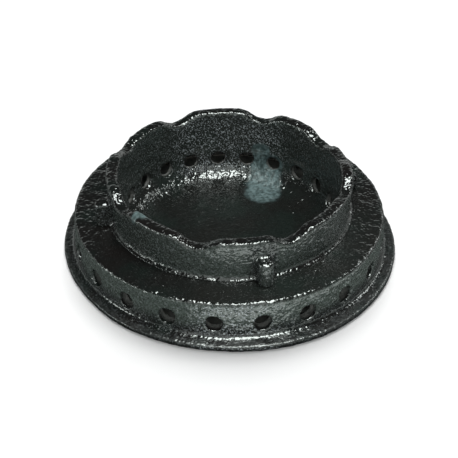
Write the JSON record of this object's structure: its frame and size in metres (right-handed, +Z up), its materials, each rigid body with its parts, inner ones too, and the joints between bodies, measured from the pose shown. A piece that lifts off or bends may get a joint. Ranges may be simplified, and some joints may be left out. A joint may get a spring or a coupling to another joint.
{
  "type": "bowl burner",
  "caption": "Round cast-iron bowl burner: a flanged ring with a perforated wall and air chamber, and a lift-out perforated bowl with a scalloped rim, lugs and pins.",
  "frame": {"origin": "centre of the flange's flat underside, on the surface that the burner stands on", "axes": "+Z up along the burner's axis; the four lugs point along -Y, +X, +Y and -X"},
  "size_m": [0.2012, 0.2012, 0.051],
  "materials": {
    "enamelled_iron": "glossy black vitreous enamel over rough sand casting, orange-peel surface",
    "seal_fibre": "grey heat-resistant fibre",
    "pan_steel": "pressed steel sheet with satin black heat-resistant paint",
    "pin_steel": "plain turned steel",
    "screw_steel": "zinc-plated steel"
  },
  "bodies": {
    "ring": {"outer_ring": "enamelled_iron", "bowl_seal": "seal_fibre", "base_pan": "pan_steel", "base_gasket": "seal_fibre", "base_screw_1": "screw_steel", "base_screw_2": "screw_steel", "base_screw_3": "screw_steel", "base_screw_4": "screw_steel", "base_washer_1": "screw_steel", "base_washer_2": "screw_steel", "base_washer_3": "screw_steel", "base_washer_4": "screw_steel"},
    "bowl": {"bowl": "enamelled_iron", "locating_pin_1": "pin_steel", "locating_pin_2": "pin_steel", "locating_pin_3": "pin_steel", "locating_pin_4": "pin_steel"}
  },
  "joints": [
    {"name": "bowl_lift", "type": "slide", "parent": "ring", "child": "bowl", "axis": [0, 0, 1], "range_m": [0, 0.06]}
  ]
}
